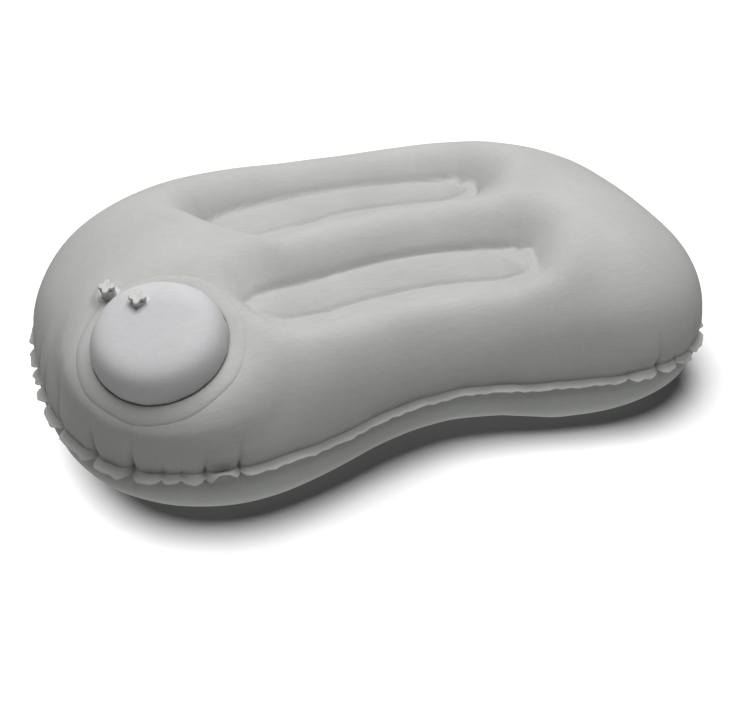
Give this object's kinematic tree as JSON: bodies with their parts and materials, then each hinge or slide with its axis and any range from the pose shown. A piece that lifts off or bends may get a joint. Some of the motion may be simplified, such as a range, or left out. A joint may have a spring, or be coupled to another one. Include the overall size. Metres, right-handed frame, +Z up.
{
  "type": "camp pillow",
  "caption": "Air-filled camping pillow with a curved neck side, sunken welded bands, and a press pump dome with plug valves at one end.",
  "frame": {"origin": "on the ground under the middle of the pillow's box", "axes": "+X along the pillow's length, away from the pump; +Y towards the straight back; +Z up"},
  "size_m": [0.47, 0.29, 0.1395],
  "materials": {
    "shell_fabric": "matte laminated weave",
    "lining_film": "satin coated film",
    "pump_fabric": "smooth matte laminate",
    "valve_plastic": "soft satin moulding",
    "pump_foam": "open-cell foam"
  },
  "bodies": {
    "shell": {"top_panel": "shell_fabric", "bottom_panel": "shell_fabric", "front_baffle": "lining_film", "rear_baffle": "lining_film", "pump_base": "lining_film", "pump_weld_ring": "pump_fabric", "pump_sidewall": "pump_fabric", "pump_foam": "pump_foam", "transfer_valve_seat": "valve_plastic", "release_valve_seat": "valve_plastic"},
    "pump": {"pump_crown": "pump_fabric", "intake_valve_seat": "valve_plastic"},
    "transfer_flap": {"transfer_valve_flap": "valve_plastic"},
    "intake_flap": {"intake_valve_flap": "valve_plastic"},
    "intake_stopper": {"intake_plug": "valve_plastic"},
    "release_stopper": {"release_plug": "valve_plastic"}
  },
  "joints": [
    {"name": "pump_press", "type": "slide", "parent": "shell", "child": "pump", "axis": [0.2319, 0.3438, -0.91], "range_m": [0, 0.014], "stiffness_N_per_m": 600, "deforming": ["pump_sidewall", "pump_foam"]},
    {"name": "transfer_flap_hinge", "type": "hinge", "parent": "shell", "child": "transfer_flap", "pos_m": [-0.16414, -0.08175, 0.10593], "axis": [0.829, -0.5592, 0], "range_deg": [0, 35], "stiffness_Nm_per_rad": 0.002},
    {"name": "intake_flap_hinge", "type": "hinge", "parent": "pump", "child": "intake_flap", "pos_m": [-0.17268, -0.07295, 0.13174], "axis": [0.829, -0.5592, 0], "range_deg": [0, 25], "stiffness_Nm_per_rad": 0.002},
    {"name": "intake_plug_pull", "type": "slide", "parent": "pump", "child": "intake_stopper", "axis": [-0.2319, -0.3438, 0.91], "range_m": [0, 0.008]},
    {"name": "release_plug_pull", "type": "slide", "parent": "shell", "child": "release_stopper", "axis": [-0.2319, -0.3438, 0.91], "range_m": [0, 0.012]}
  ]
}
